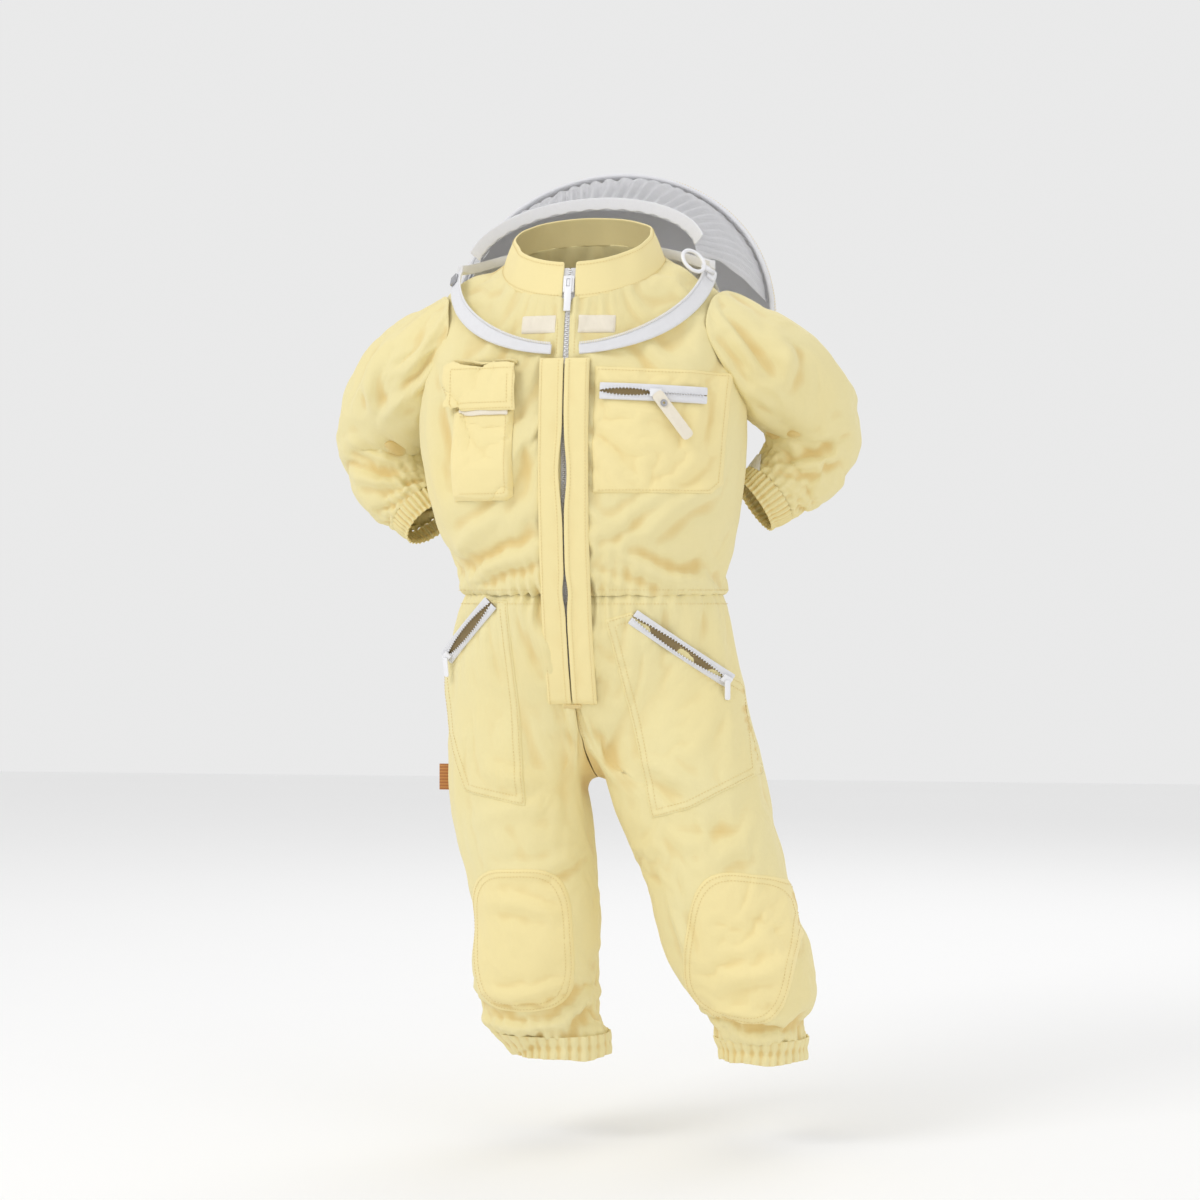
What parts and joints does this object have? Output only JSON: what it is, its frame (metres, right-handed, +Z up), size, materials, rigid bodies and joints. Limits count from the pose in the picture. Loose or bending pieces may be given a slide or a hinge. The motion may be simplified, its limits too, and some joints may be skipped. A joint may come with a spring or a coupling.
{
  "type": "beekeeping suit",
  "caption": "Child-size cotton beekeeping coverall with a stand-up collar, front zip, pockets, knee patches and a zip-on net hood thrown back on the shoulders.",
  "frame": {"origin": "midway between the points where the neck zip crosses the shoulders, where the wearer holds the suit up", "axes": "+Z up, -Y the way the wearer faces, +X the wearer's left"},
  "size_m": [0.5697, 0.4108, 0.9436],
  "materials": {
    "cotton": "plain-woven pale yellow cotton, matt, softly creased",
    "warm_cotton": "doubled pale yellow cotton, matt, top-stitched",
    "white_cloth": "white woven tape and cotton, matt",
    "cream_tape": "cream hook-and-loop tape and webbing, matt",
    "netting": "white knitted net, open mesh",
    "white_plastic": "white moulded plastic, satin",
    "steel": "nickel-plated metal, satin",
    "label": "woven rust-brown side label"
  },
  "bodies": {
    "suit": {"ankle_hem_left": "cotton", "ankle_hem_right": "cotton", "back_panel": "cotton", "chest_zip_tape": "white_cloth", "collar": "warm_cotton", "cuff_left": "cotton", "cuff_right": "cotton", "flap_hook_strip": "cream_tape", "flap_pocket_bag": "warm_cotton", "fly_bar_tack": "warm_cotton", "front_panel_left": "cotton", "front_panel_right": "cotton", "hip_left_zip_tape": "white_cloth", "hip_right_zip_tape": "white_cloth", "hook_patch_left": "cream_tape", "hook_patch_right": "cream_tape", "knee_patch_left": "warm_cotton", "knee_patch_right": "warm_cotton", "main_zip_chain": "white_plastic", "main_zip_tape_left": "white_cloth", "main_zip_tape_right": "white_cloth", "nape_net": "netting", "neck_zip_tape_back": "white_cloth", "neck_zip_tape_left": "white_cloth", "neck_zip_tape_right": "white_cloth", "placket_left": "warm_cotton", "placket_right": "warm_cotton", "pocket_flap_stay": "warm_cotton", "side_label": "label", "sleeve_left": "cotton", "sleeve_right": "cotton", "sleeve_tab": "white_cloth", "thigh_panel_left": "warm_cotton", "thigh_panel_right": "warm_cotton", "trouser_leg_left": "cotton", "trouser_leg_right": "cotton", "waist_elastic": "white_cloth", "zip_pocket_bag": "warm_cotton"},
    "main_slider": {"main_zip_slider": "white_plastic"},
    "main_pull": {"main_zip_pull": "white_plastic"},
    "chest_slider": {"chest_zip_slider": "white_plastic"},
    "chest_tag": {"chest_zip_tag": "cream_tape", "tag_eyelet": "steel"},
    "hip_right_slider": {"hip_right_zip_slider": "white_plastic"},
    "hip_right_pull": {"hip_right_zip_pull": "white_plastic"},
    "hip_left_slider": {"hip_left_zip_slider": "white_plastic"},
    "hip_left_pull": {"hip_left_zip_pull": "white_plastic"},
    "neck_slider_right": {"neck_zip_slider_right": "steel"},
    "neck_slider_left": {"neck_zip_slider_left": "white_plastic"},
    "neck_ring": {"ring_pull": "white_plastic"},
    "flap": {"pocket_flap": "warm_cotton"},
    "hood": {"hood_rim": "white_cloth", "hood_crown": "white_cloth", "veil_net": "netting"},
    "veil": {"veil_hem_tape": "white_cloth"}
  },
  "joints": [
    {"name": "main_zip_run", "type": "hinge", "parent": "suit", "child": "main_slider", "pos_m": [0, 0.471, -0.205], "axis": [1, 0, 0], "range_deg": [0, 37]},
    {"name": "main_pull_flip", "type": "hinge", "parent": "main_slider", "child": "main_pull", "pos_m": [0, -0.0883, -0.01775], "axis": [1, 0, 0], "range_deg": [-100, 0]},
    {"name": "chest_zip_run", "type": "hinge", "parent": "suit", "child": "chest_slider", "pos_m": [0.028, 0.07394, -0.13368], "axis": [0.0396, 0, 0.9992], "range_deg": [-15.01, 14.67]},
    {"name": "hip_right_zip_run", "type": "hinge", "parent": "suit", "child": "hip_right_slider", "pos_m": [-0.005, 0.18513, -0.269], "axis": [0.7071, 0, -0.7071], "range_deg": [-16.63, 0]},
    {"name": "hip_left_zip_run", "type": "hinge", "parent": "suit", "child": "hip_left_slider", "pos_m": [-0.00671, 0.21358, -0.30599], "axis": [0.5871, 0, 0.8095], "range_deg": [-20.5, 0]},
    {"name": "chest_tag_flip", "type": "hinge", "parent": "chest_slider", "child": "chest_tag", "pos_m": [0.09201, -0.11072, -0.13622], "axis": [-0.7571, -0.2542, -0.6018], "range_deg": [0, 90]},
    {"name": "hip_right_pull_flip", "type": "hinge", "parent": "hip_right_slider", "child": "hip_right_pull", "pos_m": [-0.13708, -0.04493, -0.40108], "axis": [-0.8672, 0.4979, 0], "range_deg": [0, 80]},
    {"name": "hip_left_pull_flip", "type": "hinge", "parent": "hip_left_slider", "child": "hip_left_pull", "pos_m": [0.15467, -0.04315, -0.42303], "axis": [-0.8466, -0.5322, 0], "range_deg": [0, 80]},
    {"name": "neck_zip_run_right", "type": "hinge", "parent": "suit", "child": "neck_slider_right", "pos_m": [0, -0.00758, -0.00652], "axis": [0, -0.6521, 0.7581], "range_deg": [0, 76]},
    {"name": "neck_zip_run_left", "type": "hinge", "parent": "suit", "child": "neck_slider_left", "pos_m": [0, -0.00758, -0.00652], "axis": [0, 0.6521, -0.7581], "range_deg": [0, 76]},
    {"name": "neck_ring_flip", "type": "hinge", "parent": "neck_slider_left", "child": "neck_ring", "pos_m": [0.13729, -0.01892, -0.00806], "axis": [0.0127, 0.6616, 0.7498], "range_deg": [0, 120]},
    {"name": "pocket_flap_lift", "type": "hinge", "parent": "suit", "child": "flap", "pos_m": [-0.086, -0.1108, -0.1059], "axis": [-0.9356, 0.353, 0], "range_deg": [0, 150]},
    {"name": "hood_tilt", "type": "hinge", "parent": "suit", "child": "hood", "pos_m": [0, 0, 0], "axis": [1, 0, 0], "range_deg": [0, 110], "deforming": ["nape_net"]},
    {"name": "veil_open", "type": "hinge", "parent": "hood", "child": "veil", "pos_m": [0, 0.00771, 0.0136], "axis": [1, 0, 0], "range_deg": [0, 75], "deforming": ["veil_net"]}
  ]
}
